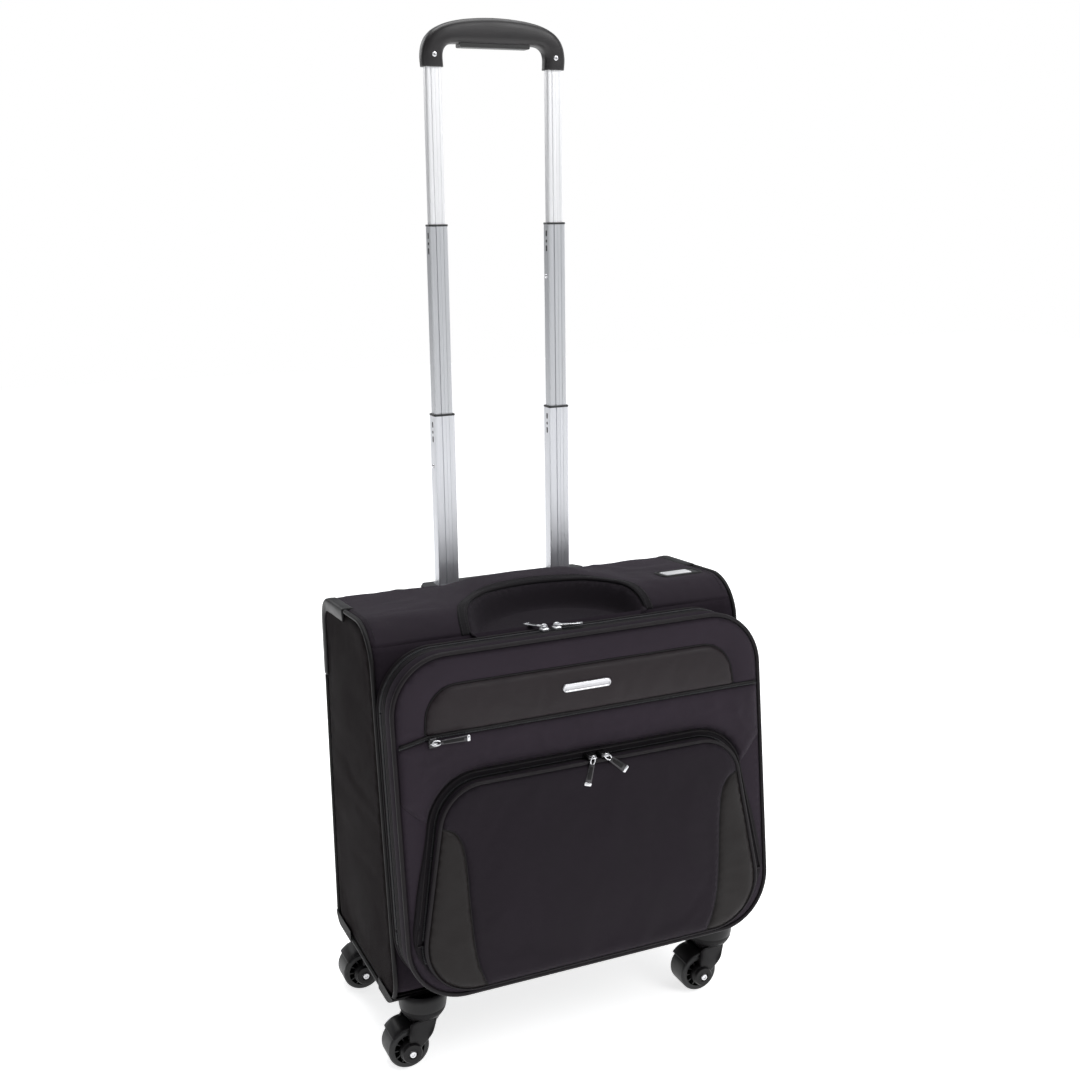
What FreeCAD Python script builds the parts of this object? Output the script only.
"""Pilot rolling case: soft-sided four-wheel case with a three-stage trolley handle.

Frame: millimetres, +Z up, +Y to the back, X = 0 on the centre plane, Z = 0 on the floor.
The front (lid, zips and pocket) leans by FRONT_TILT, so it is drawn in a flat local frame:
u is across (world X), v runs up the lid and w points out of it. place_front() tips it up.
"""
import FreeCAD
import Part
import math
import os

V = FreeCAD.Vector
PARTS = "parts"

# ---- driving dimensions (mm) -------------------------------------------------------------
SKIN = 2.5                    # fabric over board: wall of the shell
HALF_WIDTH = 202.0            # outside of the side panels
BACK_Y = 127.0                # back plane
BASE_Z = 71.0                 # underside of the base tray
TRAY_TOP = 84.0               # upper rim of the base tray
BACK_TOP_Z = 446.0            # top of the case at the back
TOP_SLOPE = 0.07              # the top rises towards the front
CORNER_R = {"back_low": 14.0, "back_top": 24.0, "front_top": 44.0, "front_low": 30.0}
INNER_X = HALF_WIDTH - 2.7
SEAM_TOP_FRONT = 436.0        # seam between the front frame and the top panel
SEAM_TOP_BACK = 424.0         # seam between the back panel and the top panel
SEAM_Y = 52.0
ARCH = {"y": -38.0, "a": 98.0, "b": 78.0}     # half ellipse of the hand opening

FRONT_TILT = 6.2              # degrees, the front leans out towards the bottom
FRONT_Y = -78.0               # foot of the front plane
FRONT_Z = 96.0
LID_HALF = 200.0
LID_HEIGHT = 339.0
LID_R = 57.0
SPLIT_W = 12.2                # plane where the main zip parts, measured out from the shell
LID_FACE_W = 46.0             # outside of the lid board
PANEL_W = 49.0                # outside of the slip-pocket panel
ZIP_V = 260.0                 # mouth of the slip pocket
PIPE_R = 2.0                  # piping radius

FLAP_FOOT_V = 3.4
FLAP_TOP_V = 214.0
FLAP_HALF_LOW = 195.0
FLAP_HALF_TOP = 158.0
FLAP_R = [53.0, 53.0, 46.0, 46.0]
FLAP_BACK_W = 46.4
FLAP_FOOT_W = 50.0            # face of the pocket at its foot
FLAP_FACE_W = 61.0            # and at its top
FLAP_WALL = 2.4
POCKET_TAPE = 8.0             # band between the flap and the slip-pocket panel

SLIDER_H = 3.4                # height of a zip slider
POST_R = 1.25                 # pivot post of a pull tab
TAB_GAP = 0.4                 # pull tab above its slider
MAIN_SLIDERS = {"main_left": (-26.0, 112.0), "main_right": (-12.0, -20.0)}       # u, tab angle
POCKET_SLIDERS = {"pocket_left": (-3.0, -107.0), "pocket_right": (11.0, -40.0)}
SLIP_SLIDER = (-163.0, ZIP_V - 3.0)
MAIN_V = LID_HEIGHT + 0.3     # level the main sliders ride on
EDGE_W = FLAP_FACE_W + 1.2    # front face of the pocket sliders
EDGE_GAP = 1.1                # pocket sliders clear the flap's piping
EDGE_POST = 3.7               # pivot post above the flap's edge

POLE_X = 66.3
POLE_Y = 115.0
BEZEL_Z = 448.0
TUBE_WALL = 1.2
OUTER_TUBE = (26.0, 18.5)
STAGES = {1: (23.0, 15.5), 2: (20.0, 12.5), 3: (17.0, 9.5)}
STAGE_TOP = {1: 634.0, 2: 829.0, 3: 1002.0}
STAGE_FOOT = {1: 408.0, 2: 594.0, 3: 789.0}
COLLAR_H = 6.0
GRIP_FOOT_Z = 982.5

CASTER_X = 168.0
CASTER_Y = {"front": -58.0, "rear": 102.0}
WHEEL_R = 21.5
WHEEL_HALF = 14.0
TRAIL = 20.0                  # axle behind the swivel, towards -X
KINGPIN_R = 4.0
AXLE_R = 3.0
CUP_FOOT_Z = 51.5


# ---- small helpers -----------------------------------------------------------------------
def box(x0, x1, y0, y1, z0, z1):
    """Axis-aligned block between two corners."""
    return Part.makeBox(x1 - x0, y1 - y0, z1 - z0, V(x0, y0, z0))


def cyl(radius, start, end):
    """Cylinder between two points."""
    a = V(*start)
    b = V(*end)
    return Part.makeCylinder(radius, (b - a).Length, a, b - a)


def fuse(shapes):
    """Union of a list of shapes without leftover seams."""
    result = shapes[0]
    for shape in shapes[1:]:
        result = result.fuse(shape)
    return result.removeSplitter()


def cut_all(shape, tools):
    """Shape minus every tool."""
    for tool in tools:
        shape = shape.cut(tool)
    return shape


def save(name, *solids):
    """Write one node, as one solid or as a group of separate solids."""
    shapes = []
    for item in solids:
        shapes += item.Solids
    if not shapes:
        raise ValueError("node %s has no solid" % name)
    shape = shapes[0] if len(shapes) == 1 else Part.makeCompound(shapes)
    if not shape.isValid():
        print("INVALID", name)
    shape.exportStep("%s/%s.step" % (PARTS, name))


def offset_corners(corners, distance):
    """Corners of a convex anticlockwise polygon moved outwards by distance."""
    moved = []
    count = len(corners)
    for i in range(count):
        before = V(corners[i - 1][0], corners[i - 1][1], 0)
        here = V(corners[i][0], corners[i][1], 0)
        after = V(corners[(i + 1) % count][0], corners[(i + 1) % count][1], 0)
        e1 = (here - before).normalize()
        e2 = (after - here).normalize()
        n1 = V(e1.y, -e1.x, 0)
        n2 = V(e2.y, -e2.x, 0)
        bisector = (n1 + n2).normalize()
        point = here + bisector * (distance / bisector.dot(n1))
        moved.append((point.x, point.y))
    return moved


def rounded_wire(corners, radii, to3d):
    """Closed wire round a convex polygon with arcs at its corners."""
    count = len(corners)
    runs = []
    for i in range(count):
        here = V(corners[i][0], corners[i][1], 0)
        before = V(corners[i - 1][0], corners[i - 1][1], 0)
        after = V(corners[(i + 1) % count][0], corners[(i + 1) % count][1], 0)
        back = (before - here).normalize()
        ahead = (after - here).normalize()
        half = back.getAngle(ahead) / 2.0
        reach = radii[i] / math.tan(half)
        middle = here + (back + ahead).normalize() * (radii[i] / math.sin(half) - radii[i])
        runs.append((here + back * reach, middle, here + ahead * reach))
    edges = []
    for i in range(count):
        start, middle, end = runs[i]
        following = runs[(i + 1) % count][0]
        edges.append(Part.Arc(to3d(start), to3d(middle), to3d(end)).toShape())
        edges.append(Part.LineSegment(to3d(end), to3d(following)).toShape())
    return Part.Wire(edges)


def polygon(points, to3d):
    """Closed face through straight-sided points."""
    corners = [to3d(V(a, b, 0)) for a, b in points]
    return Part.Face(Part.makePolygon(corners + corners[:1]))


def pipe(wire, radius):
    """Round bead along a closed smooth wire."""
    edge = wire.Edges[1]
    start = edge.valueAt(edge.FirstParameter)
    tangent = edge.tangentAt(edge.FirstParameter)
    spine = Part.Wire(wire.Edges[1:] + wire.Edges[:1])
    ring = Part.Wire(Part.makeCircle(radius, start, tangent))
    return spine.makePipe(Part.Face(ring))


# ---- the side profile of the shell ---------------------------------------------------------
def front_y(z):
    """Y of the shell's front plane at a height."""
    return FRONT_Y + (z - FRONT_Z) * math.tan(math.radians(FRONT_TILT))


def front_top_corner():
    """Where the sloping top meets the leaning front."""
    lean = math.tan(math.radians(FRONT_TILT))
    z = (BACK_TOP_Z + TOP_SLOPE * (BACK_Y - FRONT_Y + FRONT_Z * lean)) / (1.0 + TOP_SLOPE * lean)
    return (front_y(z), z)


def profile_corners():
    """Corners in (y, z), anticlockwise seen from +X."""
    return [(front_y(BASE_Z), BASE_Z), (BACK_Y, BASE_Z), (BACK_Y, BACK_TOP_Z), front_top_corner()]


def profile_wire(offset, x):
    """Side profile of the shell, grown by offset, at a given X."""
    names = ["front_low", "back_low", "back_top", "front_top"]
    radii = [CORNER_R[n] + offset for n in names]
    return rounded_wire(offset_corners(profile_corners(), offset), radii, lambda p: V(x, p.x, p.y))


def shell(offset, x0, x1):
    """Solid with the side profile, grown by offset, between two X planes."""
    return Part.Face(profile_wire(offset, x0)).extrude(V(x1 - x0, 0, 0))


# ---- the leaning front ---------------------------------------------------------------------
def place_front(shape):
    """Tip a shape from the flat (u, v, w) frame onto the leaning front."""
    turn = FreeCAD.Rotation(V(1, 0, 0), 90.0 - FRONT_TILT)
    placed = shape.copy()
    placed.Placement = FreeCAD.Placement(V(0, FRONT_Y, FRONT_Z), turn).multiply(shape.Placement)
    return placed


def lid_corners(inset):
    """Corners of the lid outline, drawn in by inset."""
    half = LID_HALF - inset
    return [(-half, inset), (half, inset), (half, LID_HEIGHT - inset), (-half, LID_HEIGHT - inset)]


def lid_wire(inset, w):
    """Lid outline drawn in by inset, at level w."""
    return rounded_wire(lid_corners(inset), [LID_R - inset] * 4, lambda p: V(p.x, p.y, w))


def lid_slab(inset, w0, w1):
    """Solid inside the lid outline between two levels."""
    return Part.Face(lid_wire(inset, w0)).extrude(V(0, 0, w1 - w0))


def lid_ring(inset, wall, w0, w1):
    """Wall that follows the lid outline."""
    return lid_slab(inset, w0, w1).cut(lid_slab(inset + wall, w0 - 1, w1 + 1))


def flap_wire(offset, w):
    """Outline of the pocket flap grown by offset, at level w."""
    corners = [(-FLAP_HALF_LOW, FLAP_FOOT_V), (FLAP_HALF_LOW, FLAP_FOOT_V),
               (FLAP_HALF_TOP, FLAP_TOP_V), (-FLAP_HALF_TOP, FLAP_TOP_V)]
    radii = [r + offset for r in FLAP_R]
    return rounded_wire(offset_corners(corners, offset), radii, lambda p: V(p.x, p.y, w))


def flap_slab(offset, w0, w1):
    """Solid inside the flap outline between two levels."""
    return Part.Face(flap_wire(offset, w0)).extrude(V(0, 0, w1 - w0))


def tip_flap(shape):
    """Tip a shape drawn on w = 0 onto the face of the pocket, which is deeper at the top."""
    slope = math.degrees(math.atan2(FLAP_FACE_W - FLAP_FOOT_W, FLAP_TOP_V - FLAP_FOOT_V))
    tipped = shape.copy()
    tipped.rotate(V(0, FLAP_FOOT_V, 0), V(1, 0, 0), slope)
    tipped.translate(V(0, 0, FLAP_FOOT_W))
    return tipped


# ---- shell ---------------------------------------------------------------------------------
def arch_prism(grow, z0, z1):
    """Half-elliptical prism over the hand opening."""
    a = ARCH["a"] + grow
    b = ARCH["b"] + grow
    ellipse = Part.Ellipse(V(0, 0, 0), max(a, b), min(a, b)).toShape()
    face = Part.Face(Part.Wire(ellipse))
    prism = face.extrude(V(0, 0, z1 - z0))
    prism.translate(V(0, ARCH["y"], z0))
    return prism.cut(box(-200, 200, ARCH["y"] - 200, ARCH["y"] - grow, z0 - 1, z1 + 1))


def pole_slots(size, gap, z0, z1):
    """Two rectangular prisms round the poles."""
    w = size[0] / 2.0 + gap
    d = size[1] / 2.0 + gap
    return [box(s * POLE_X - w, s * POLE_X + w, POLE_Y - d, POLE_Y + d, z0, z1) for s in (-1, 1)]


def side_piping():
    """Beads round the two side panels, open at the back where the corner guards sit."""
    return [pipe(profile_wire(0.0, s * (HALF_WIDTH - 0.2)), PIPE_R + 0.3) for s in (-1, 1)]


def guard_zone(grow, side):
    """Block round one back-top corner of the case."""
    x0, x1 = sorted((side * (182.0 - grow), side * 210.0))
    return box(x0, x1, 44.0 - grow, 152.0, 362.0 - grow, 480.0)


def corner_guards():
    """Moulded strips that wrap the back-top corners."""
    guards = []
    for side in (-1, 1):
        x0, x1 = sorted((side * 180.0, side * 204.5))
        strip = shell(2.2, x0, x1).cut(shell(0.0, x0 - 1, x1 + 1))
        cheek0, cheek1 = sorted((side * (HALF_WIDTH + 0.05), side * 204.5))
        cheek = shell(2.2, cheek0, cheek1).cut(shell(-11.0, cheek0 - 1, cheek1 + 1))
        guards.append(fuse([strip, cheek]).common(guard_zone(0.0, side)))
    return guards


def build_shell():
    """Every sewn or moulded panel of the main body."""
    ring = shell(0.0, -INNER_X, INNER_X).cut(shell(-SKIN, -INNER_X - 1, INNER_X + 1))
    piping = side_piping()
    far = 400.0
    low = box(-far, far, -far, far, 0, TRAY_TOP)
    back = box(-far, far, SEAM_Y, far, TRAY_TOP, SEAM_TOP_BACK)
    front = box(-far, far, -far, SEAM_Y, TRAY_TOP, SEAM_TOP_FRONT)
    tray = ring.common(low)
    back_panel = ring.common(back)
    front_frame = ring.common(front)
    top_panel = cut_all(ring, [low, back, front])
    opening = place_front(lid_slab(13.0, -40.0, 10.0))
    front_frame = front_frame.cut(opening)
    top_panel = top_panel.cut(arch_prism(0.0, 400, 480))
    top_panel = cut_all(top_panel, pole_slots(OUTER_TUBE, 0.3, 400, 480))
    back_panel = cut_all(back_panel, pole_slots(OUTER_TUBE, 0.3, 400, 480))
    kingpins = [cyl(KINGPIN_R + 0.6, (sx * CASTER_X, y, 60), (sx * CASTER_X, y, 90))
                for sx in (-1, 1) for y in CASTER_Y.values()]
    tray = cut_all(tray, kingpins)
    save("base_tray", cut_all(tray, piping))
    save("back_panel", cut_all(back_panel, piping))
    save("front_frame", cut_all(front_frame, piping))
    save("top_panel", cut_all(top_panel, piping))
    for side, name in ((-1, "left"), (1, "right")):
        x0, x1 = sorted((side * INNER_X, side * HALF_WIDTH))
        save("side_panel_" + name, cut_all(shell(0.0, x0, x1), piping))
    guards = corner_guards()
    beads = [bead.cut(guard_zone(0.3, side)) for bead, side in zip(piping, (-1, 1))]
    save("side_piping", *beads)
    save("corner_guards", *guards)
    lining = box(-INNER_X + 0.4, INNER_X - 0.4, 100.0, 101.2, TRAY_TOP, 437.0)
    save("back_lining", lining.common(shell(-SKIN - 0.2, -INNER_X, INNER_X)))
    return piping


def build_top_fittings():
    """Carry handle, its pouch and hem, the plain label and the trolley bezel."""
    def on_top(thick, prism):
        return shell(thick, -150, 210).cut(shell(0.0, -151, 211)).common(prism)

    pouch = arch_prism(12.0, 424.0, 480.0).common(shell(-SKIN - 0.1, -150, 150))
    hollow = arch_prism(10.5, 425.5, 481.0)
    save("handle_recess", pouch.cut(hollow))
    hem = arch_prism(9.0, 430, 480).cut(arch_prism(0.0, 420, 490))
    hem = hem.cut(box(-200, 200, -200, ARCH["y"] + 0.1, 400, 500))
    save("handle_hem", on_top(1.6, hem))
    plan = [(-84.0, 52.0), (84.0, 52.0), (70.0, 96.0), (-70.0, 96.0)]
    outline = rounded_wire(plan, [10.0, 10.0, 18.0, 18.0], lambda p: V(p.x, p.y, 430.0))
    pad = Part.Face(outline).extrude(V(0, 0, 50))
    save("carry_handle", on_top(6.0, pad))
    plate = rounded_wire([(144.0, 5.0), (188.0, 5.0), (188.0, 28.0), (144.0, 28.0)],
                         [3.0] * 4, lambda p: V(p.x, p.y, 430.0))
    save("id_label", on_top(1.2, Part.Face(plate).extrude(V(0, 0, 50))))
    corners = [(-97.0, 114.0), (-88.0, 99.5), (88.0, 99.5), (97.0, 114.0), (90.0, 126.8), (-90.0, 126.8)]
    bezel = Part.Face(rounded_wire(corners, [2.0] * 6, lambda p: V(p.x, p.y, 428.0)))
    bezel = bezel.extrude(V(0, 0, BEZEL_Z - 428.0)).cut(shell(0.05, -150, 150))
    save("trolley_bezel", cut_all(bezel, pole_slots(OUTER_TUBE, 0.0, 400, 480)))


# ---- trolley ---------------------------------------------------------------------------------
def tube(size, z0, z1, side):
    """Rectangular drawn tube with softened edges and a shallow groove down its front."""
    w, d = size
    x = side * POLE_X
    body = box(x - w / 2, x + w / 2, POLE_Y - d / 2, POLE_Y + d / 2, z0, z1)
    upright = [e for e in body.Edges if abs(e.BoundBox.ZLength - (z1 - z0)) < 0.01]
    body = body.makeFillet(1.8, upright)
    t = TUBE_WALL
    bore = box(x - w / 2 + t, x + w / 2 - t, POLE_Y - d / 2 + t, POLE_Y + d / 2 - t, z0 - 1, z1 + 1)
    groove = box(x - 4.0, x - 2.6, POLE_Y - d / 2 - 1, POLE_Y - d / 2 + 0.5, z0 - 1, z1 + 1)
    return body.cut(bore).cut(groove)


def collar(size, inner, z1, side):
    """Moulded bush at the mouth of a tube."""
    w, d = size
    x = side * POLE_X
    body = box(x - w / 2 - 0.8, x + w / 2 + 0.8, POLE_Y - d / 2 - 0.8, POLE_Y + d / 2 + 0.8,
               z1 - COLLAR_H, z1)
    g = 0.3
    iw, idp = inner
    hole = box(x - iw / 2 - g, x + iw / 2 + g, POLE_Y - idp / 2 - g, POLE_Y + idp / 2 + g,
               z1 - COLLAR_H - 1, z1 + 1)
    return body.cut(hole)


def build_trolley():
    """Outer tubes with their brackets, three stages, grip, button and release rods."""
    outer = [tube(OUTER_TUBE, TRAY_TOP, BEZEL_Z, s) for s in (-1, 1)]
    save("outer_tubes", *outer)
    brackets = []
    for s in (-1, 1):
        x = s * POLE_X
        for z0, z1 in ((86.0, 112.0), (330.0, 350.0)):
            block = box(x - 19, x + 19, 101.3, 124.4, z0, z1)
            brackets.append(block.cut(box(x - 13, x + 13, POLE_Y - 9.25, POLE_Y + 9.25, z0 - 1, z1 + 1)))
    save("tube_brackets", *brackets)
    for n in (1, 2):
        top = STAGE_TOP[n]
        tubes = [tube(STAGES[n], STAGE_FOOT[n], top - COLLAR_H, s) for s in (-1, 1)]
        rings = [collar(STAGES[n], STAGES[n + 1], top, s) for s in (-1, 1)]
        save("stage_%d_tubes" % n, *tubes)
        save("stage_%d_collars" % n, *rings)
    save("stage_3_tubes", *[tube(STAGES[3], STAGE_FOOT[3], STAGE_TOP[3], s) for s in (-1, 1)])
    build_grip()


def build_grip():
    """Arched grip in two half shells, with a press bar under it."""
    foot = GRIP_FOOT_Z
    half = 78.5
    to3d = lambda p: V(p.x, 0, p.y)
    arc_top = Part.Arc(V(-48, 0, 1026.0), V(0, 0, 1031.0), V(48, 0, 1026.0)).toShape()
    right = Part.Arc(V(48, 0, 1026.0), V(70.0, 0, 1014.5), V(half, 0, 994.0)).toShape()
    left = Part.Arc(V(-half, 0, 994.0), V(-70.0, 0, 1014.5), V(-48, 0, 1026.0)).toShape()
    inner_r = Part.Arc(V(56.0, 0, 994.0), V(52.6, 0, 1002.0), V(44.0, 0, 1005.0)).toShape()
    inner_l = Part.Arc(V(-44.0, 0, 1005.0), V(-52.6, 0, 1002.0), V(-56.0, 0, 994.0)).toShape()
    line = lambda a, b, c, d: Part.LineSegment(to3d(V(a, b, 0)), to3d(V(c, d, 0))).toShape()
    edges = [arc_top, right, line(half, 994.0, 77.8, foot), line(77.8, foot, 55.2, foot),
             line(55.2, foot, 56.0, 994.0), inner_r, line(44.0, 1005.0, -44.0, 1005.0), inner_l,
             line(-56.0, 994.0, -55.2, foot), line(-55.2, foot, -77.8, foot), line(-77.8, foot, -half, 994.0),
             left]
    outline = Part.Face(Part.Wire(edges))
    depth = 21.0
    legs = 15.5
    bar = outline.extrude(V(0, depth, 0))
    bar.translate(V(0, POLE_Y - depth / 2, 0))
    trims = []
    for s in (-1, 1):
        slim = (depth - legs) / 2
        wedge = [(0.0, foot - 1.0), (slim, foot - 1.0), (0.0, 1016.0)]
        for sign in (-1, 1):
            y_face = POLE_Y + sign * depth / 2
            pts = [(y_face - sign * a, z) for a, z in wedge]
            face = polygon(pts, lambda p: V(s * 40.0, p.x, p.y))
            trims.append(face.extrude(V(s * 60.0, 0, 0)))
    bar = cut_all(bar, trims)
    sockets = pole_slots(STAGES[3], 0.0, foot - 1, STAGE_TOP[3])
    arm_slot = box(-70.0, 70.0, POLE_Y - 3.6, POLE_Y + 3.6, 1002.0, 1016.5)
    press_slot = box(-38.4, 38.4, POLE_Y - 6.9, POLE_Y + 6.9, 1000.0, 1013.0)
    bar = cut_all(bar, sockets + [arm_slot, press_slot])
    screw_y = POLE_Y - depth / 2
    for s in (-1, 1):
        bar = bar.cut(cyl(2.0, (s * POLE_X, screw_y - 1, 994.0), (s * POLE_X, screw_y + 6.0, 994.0)))
    split = box(-100, 100, POLE_Y, POLE_Y + 50, 900, 1100)
    save("grip_front", bar.cut(split))
    save("grip_rear", bar.common(split))
    heads = []
    for s in (-1, 1):
        face = screw_y + 1.7
        head = cyl(1.9, (s * POLE_X, face, 994.0), (s * POLE_X, POLE_Y - STAGES[3][1] / 2, 994.0))
        cross = fuse([box(s * POLE_X - 1.2, s * POLE_X + 1.2, face - 0.1, face + 0.5, 993.75, 994.25),
                      box(s * POLE_X - 0.25, s * POLE_X + 0.25, face - 0.1, face + 0.5, 992.8, 995.2)])
        heads.append(head.cut(cross))
    save("grip_screws", *heads)
    press = box(-38.0, 38.0, POLE_Y - 6.5, POLE_Y + 6.5, 1001.5, 1008.6)
    press = press.makeFillet(1.5, [e for e in press.Edges if e.BoundBox.ZMax < 1001.6])
    arm = box(-POLE_X - 2.4, POLE_X + 2.4, POLE_Y - 3.0, POLE_Y + 3.0, 1007.0, 1011.0)
    rods = [cyl(1.6, (s * POLE_X, POLE_Y, 800.0), (s * POLE_X, POLE_Y, 1007.0)) for s in (-1, 1)]
    save("release_button", fuse([press, arm]), *rods)


# ---- casters -----------------------------------------------------------------------------------
def caster_housing(x, y, at_front):
    """Bell-shaped cup with a shoe that hugs the lower corner of the case."""
    side = 1 if x > 0 else -1
    arc = Part.Arc(V(24.0, 0, 63.0), V(22.4, 0, 56.0), V(18.4, 0, CUP_FOOT_Z)).toShape()
    line = lambda a, b, c, d: Part.LineSegment(V(a, 0, b), V(c, 0, d)).toShape()
    edges = [line(0, BASE_Z, 24.0, BASE_Z), line(24.0, BASE_Z, 24.0, 63.0), arc,
             line(18.4, CUP_FOOT_Z, 0, CUP_FOOT_Z), line(0, CUP_FOOT_Z, 0, BASE_Z)]
    cup = Part.Face(Part.Wire(edges)).revolve(V(0, 0, 0), V(0, 0, 1), 360)
    cup.translate(V(x, y, 0))
    x0, x1 = sorted((side * 138.0, side * 204.4))
    shoe = shell(2.4, x0, x1).cut(shell(0.3, x0 - 1, x1 + 1))
    cheek0, cheek1 = sorted((side * (HALF_WIDTH + 2.15), side * 204.4))
    cheek = shell(2.4, cheek0, cheek1)
    y0, y1 = (-138.0, -26.0) if at_front else (74.0, 152.0)
    zone = box(x0 - 5, x1 + 5, y0, y1, 40, 81.5)
    corner = fuse([shoe, cheek]).common(zone)
    cup = cup.cut(shell(0.3, -210, 210))
    housing = fuse([cup, corner])
    pin_hole = cyl(KINGPIN_R + 0.05, (x, y, 40), (x, y, 90))
    return housing.cut(pin_hole)


def caster_fork(x, y):
    """Swivelling fork with a hood over the wheel; kingpin and axle are separate solids."""
    ax = x - TRAIL
    az = WHEEL_R
    crown = cyl(17.6, (x, y, CUP_FOOT_Z - 3.2), (x, y, CUP_FOOT_Z - 0.4))
    arm_out = 21.0
    at_xz = lambda yy: (lambda p: V(x + p.x, yy, p.y))
    arm_pts = [(9.4, CUP_FOOT_Z - 0.8), (-17.0, CUP_FOOT_Z - 0.8), (-19.0, 38.0), (-29.0, 29.5),
               (-27.0, 15.0), (-12.0, 14.0), (-9.0, 19.0), (-1.5, 29.0)]
    pieces = [crown]
    for s in (-1, 1):
        y0, y1 = sorted((y + s * (WHEEL_HALF + 0.8), y + s * arm_out))
        pieces.append(polygon(arm_pts, at_xz(y0)).extrude(V(0, y1 - y0, 0)))
        pieces.append(cyl(11.5, (ax, y0, az), (ax, y1, az)))
        ends = sorted((y + s * arm_out, y + s * (arm_out + 3.5)))
        pieces.append(cyl(9.0, (ax, ends[0], az), (ax, ends[1], az)))
    hood_pts = [(9.4, CUP_FOOT_Z - 0.8), (-20.0, CUP_FOOT_Z - 0.8), (-38.0, 41.0), (-44.3, 30.0),
                (-20.0, 30.0), (0.0, 33.0)]
    hood = polygon(hood_pts, at_xz(y - arm_out + 1.0)).extrude(V(0, 2 * arm_out - 2.0, 0))
    fork = fuse(pieces + [hood])
    wheel_room = cyl(WHEEL_R + 1.6, (ax, y - WHEEL_HALF - 0.8, az), (ax, y + WHEEL_HALF + 0.8, az))
    fork = fork.cut(wheel_room)
    axle = cyl(AXLE_R, (ax, y - 23.5, az), (ax, y + 23.5, az))
    heads = [cyl(4.0, (ax, y + s * 23.5, az), (ax, y + s * 26.0, az)) for s in (-1, 1)]
    pin = fuse([axle] + heads)
    king = cyl(KINGPIN_R, (x, y, CUP_FOOT_Z - 3.2), (x, y, BASE_Z + SKIN + 3.0))
    return fork.cut(pin).cut(king), pin, king


def caster_wheel(x, y):
    """Tread ring, spoked web and hub, with a running bore."""
    ax = x - TRAIL
    az = WHEEL_R
    h = WHEEL_HALF
    tread = cyl(WHEEL_R, (ax, y - h, az), (ax, y + h, az))
    edges = [e for e in tread.Edges if abs(e.Length - 2 * math.pi * WHEEL_R) < 0.1]
    tread = tread.makeFillet(3.0, edges)
    tread = tread.cut(cyl(15.8, (ax, y - h - 1, az), (ax, y + h + 1, az)))
    web = cyl(15.9, (ax, y - 2, az), (ax, y + 2, az))
    hub = cyl(6.0, (ax, y - h, az), (ax, y + h, az))
    spokes = []
    count = 12
    for k in range(count):
        spoke = box(ax + 4.0, ax + 15.9, y - h + 1.0, y + h - 1.0, az - 0.6, az + 0.6)
        spoke.rotate(V(ax, y, az), V(0, 1, 0), k * 360.0 / count)
        spokes.append(spoke)
    wheel = fuse([tread, web, hub] + spokes)
    return wheel.cut(cyl(AXLE_R + 0.05, (ax, y - h - 1, az), (ax, y + h + 1, az)))


def build_casters(piping):
    """Four swivel casters at the corners of the base; their shoes leave room for the piping."""
    for end, y in CASTER_Y.items():
        for side, name in ((-1, "left"), (1, "right")):
            x = side * CASTER_X
            tag = "%s_%s" % (end, name)
            housing = cut_all(caster_housing(x, y, end == "front"), piping)
            save("caster_housing_" + tag, max(housing.Solids, key=lambda solid: solid.Volume))
            save("caster_fork_" + tag, *caster_fork(x, y))
            save("caster_wheel_" + tag, caster_wheel(x, y))


# ---- lid, pockets and zips -----------------------------------------------------------------------
def build_lid(piping):
    """Zip tapes, gusset, board, piping and the pieces sewn to the lid."""
    tape = place_front(lid_ring(0.0, 1.6, -14.0, SPLIT_W - 0.2)).cut(shell(0.05, -HALF_WIDTH, HALF_WIDTH))
    save("body_zip_tape", cut_all(tape, piping))
    save("lid_zip_tape", place_front(lid_ring(0.0, 1.6, SPLIT_W + 0.2, 23.0)))
    bead = pipe(lid_wire(0.6, LID_FACE_W - 0.6), PIPE_R)
    save("lid_gusset", place_front(lid_ring(0.0, SKIN, 23.0, LID_FACE_W - 3.0).cut(bead)))
    save("lid_panel", place_front(lid_slab(0.4, LID_FACE_W - 3.0, LID_FACE_W).cut(bead)))
    save("lid_piping", place_front(bead))
    inset_pts = [(-169.0, ZIP_V + 1.5), (169.0, ZIP_V + 1.5), (164.0, 309.0), (-164.0, 309.0)]
    wire = rounded_wire(inset_pts, [3.0, 3.0, 34.0, 34.0], lambda p: V(p.x, p.y, LID_FACE_W))
    save("inset_panel", place_front(Part.Face(wire).extrude(V(0, 0, 2.5))))
    badge = rounded_wire([(-26.0, 284.0), (26.0, 284.0), (26.0, 292.0), (-26.0, 292.0)], [3.9] * 4,
                         lambda p: V(p.x, p.y, LID_FACE_W + 2.5))
    save("badge", place_front(Part.Face(badge).extrude(V(0, 0, 1.6))))
    slip = lid_slab(3.0, LID_FACE_W + 0.02, PANEL_W)
    slip = slip.cut(box(-300, 300, ZIP_V, 500, 0, 100)).cut(flap_slab(POCKET_TAPE, 40, 60)).cut(bead)
    slip = slip.cut(box(-300, 300, -50, FLAP_FOOT_V + 40, 0, 100))
    save("slip_pocket_panel", place_front(slip))
    mouth = box(-LID_HALF + 4, LID_HALF - 4, ZIP_V - 6.0, ZIP_V, PANEL_W, PANEL_W + 1.0)
    save("slip_pocket_zip", place_front(mouth))


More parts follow.
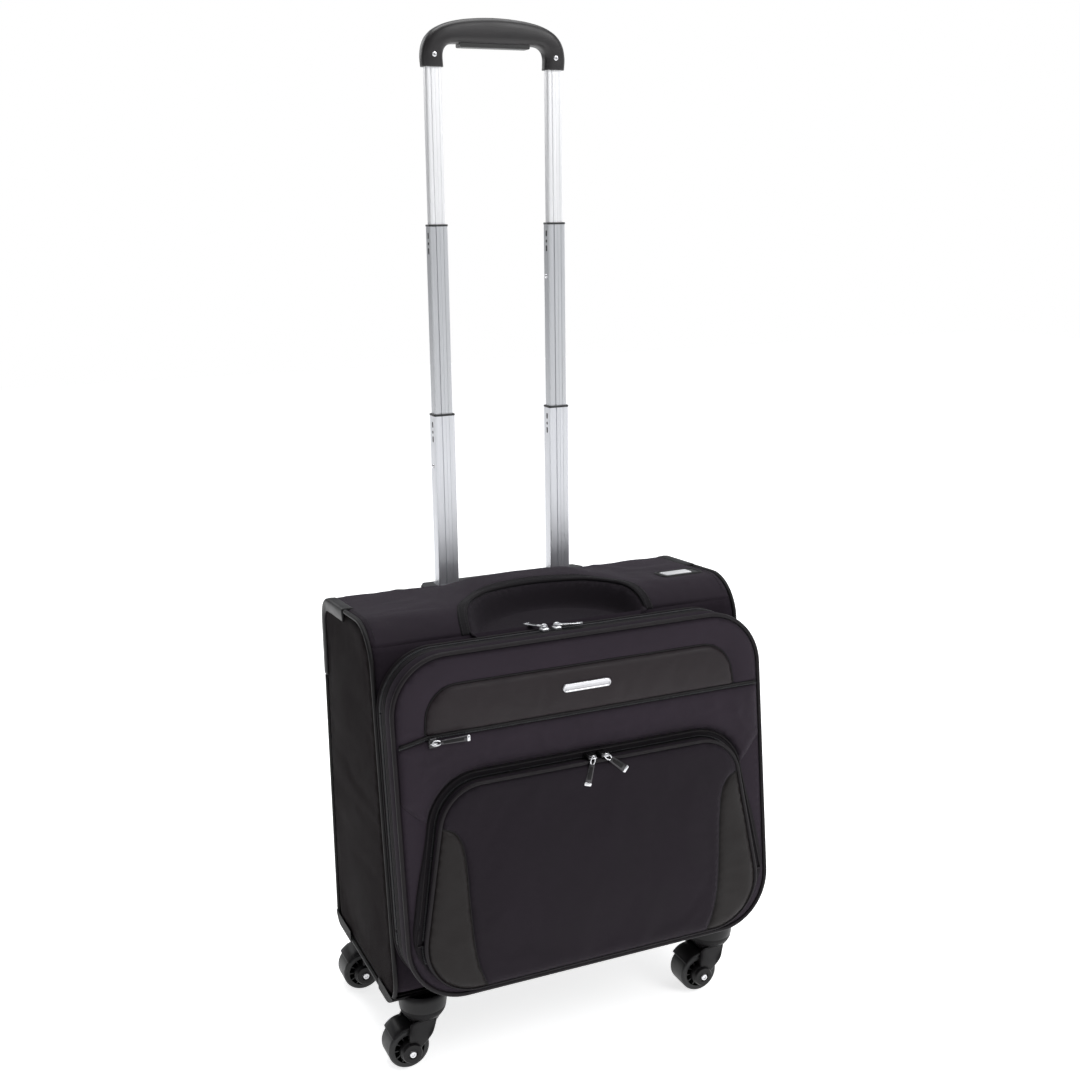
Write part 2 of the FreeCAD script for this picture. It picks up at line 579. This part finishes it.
def build_pocket():
    """Front pocket: tape on the lid, and a hinged flap in the form of a shallow pan."""
    tape = flap_slab(POCKET_TAPE - 0.2, LID_FACE_W + 0.02, PANEL_W)
    tape = tape.cut(flap_slab(0.5, 40, 60)).common(lid_slab(3.4, 40, 60))
    tape = tape.cut(box(-300, 300, -50, FLAP_FOOT_V + 40, 0, 100))
    save("pocket_zip_tape", place_front(tape))
    above = tip_flap(box(-300, 300, -50, 300, 0, 50))
    room = above.copy()
    room.translate(V(0, 0, -FLAP_WALL))
    hollow = flap_slab(-FLAP_WALL, FLAP_BACK_W - 1, FLAP_FACE_W + 5).cut(room)
    pan = flap_slab(0.0, FLAP_BACK_W, FLAP_FACE_W + 5).cut(above).cut(hollow)
    bead = tip_flap(pipe(flap_wire(-1.2, -0.8), PIPE_R))
    save("pocket_flap", place_front(pan.cut(bead)))
    save("pocket_piping", place_front(bead))
    patches = []
    for s in (-1, 1):
        pts = [(s * 250.0, 0.0), (s * 128.0, 0.0), (s * 136.5, 60.0), (s * 138.5, 140.0),
               (s * 150.0, 166.0), (s * 250.0, 190.0)]
        region = polygon(pts, lambda p: V(p.x, p.y, 0)).extrude(V(0, 0, 1.2))
        patches.append(place_front(tip_flap(flap_slab(-4.0, 0.0, 1.2).common(region))))
    save("corner_patches", *patches)


def puller(length, width, thick):
    """Pull tab that runs along +u from its pivot eye at the local origin, w from 0 to thick."""
    blade = box(6.0, length, -width / 2, width / 2, 0, thick)
    neck = box(0.0, 8.0, -1.6, 1.6, 0, thick)
    eye = Part.makeCylinder(3.0, thick)
    tab = fuse([blade, neck, eye])
    slot = box(10.0, length - 9.0, -0.9, 0.9, -1, thick * 0.4)
    slot.translate(V(0, 0, thick))
    return tab.cut(Part.makeCylinder(POST_R + 0.1, 10, V(0, 0, -1))).cut(slot)


def slider_body():
    """Flat zip slider on z = 0 with a pivot post along +z."""
    body = box(-4.5, 4.5, -5.5, 5.5, 0.0, SLIDER_H)
    body = body.makeChamfer(1.0, [e for e in body.Edges if e.BoundBox.ZMin > SLIDER_H - 0.1])
    post = Part.makeCylinder(POST_R, 2.6, V(0, 0, SLIDER_H))
    cap = Part.makeCylinder(2.4, 0.7, V(0, 0, SLIDER_H + 2.6))
    return fuse([body, post, cap])


def edge_slider_body():
    """Slider that rides on the flap's edge wall, with its pivot post facing forwards."""
    body = box(-4.5, 4.5, EDGE_GAP, 6.3, -12.4, 0.0)
    body = body.makeChamfer(1.0, [e for e in body.Edges if e.BoundBox.YMin > 6.2])
    post = Part.makeCylinder(POST_R, 2.6, V(0, EDGE_POST, 0))
    cap = Part.makeCylinder(2.4, 0.7, V(0, EDGE_POST, 2.6))
    return fuse([body, post, cap])


def build_sliders():
    """Two sliders on the main zip, two on the pocket and one on the slip pocket."""
    for name, (u, turn) in MAIN_SLIDERS.items():
        body = slider_body()
        tab = puller(26.0, 7.0, 1.6)
        tab.rotate(V(0, 0, 0), V(0, 0, 1), turn)
        tab.translate(V(0, 0, SLIDER_H + TAB_GAP))
        for shape in (body, tab):
            shape.rotate(V(0, 0, 0), V(1, 0, 0), -90)
            shape.translate(V(u, MAIN_V, SPLIT_W))
        save("slider_" + name, place_front(body))
        save("puller_" + name, place_front(tab))
    for name, (u, turn) in POCKET_SLIDERS.items():
        body = edge_slider_body()
        body.translate(V(u, FLAP_TOP_V, EDGE_W))
        tab = puller(28.0, 8.0, 1.6)
        tab.rotate(V(0, 0, 0), V(0, 0, 1), turn)
        tab.translate(V(u, FLAP_TOP_V + EDGE_POST, EDGE_W + TAB_GAP))
        save("slider_" + name, place_front(body))
        save("puller_" + name, place_front(tab))
    u, v = SLIP_SLIDER
    lift = PANEL_W + 1.3
    body = slider_body()
    body.translate(V(u, v, lift))
    tab = puller(36.0, 6.0, 1.6)
    tab.translate(V(u, v, lift + SLIDER_H + TAB_GAP))
    save("slider_slip_pocket", place_front(body))
    save("puller_slip_pocket", place_front(tab))


def main():
    """Write every node of the case."""
    os.makedirs(PARTS, exist_ok=True)
    piping = build_shell()
    build_top_fittings()
    build_trolley()
    build_casters(piping)
    build_lid(piping)
    build_pocket()
    build_sliders()


main()
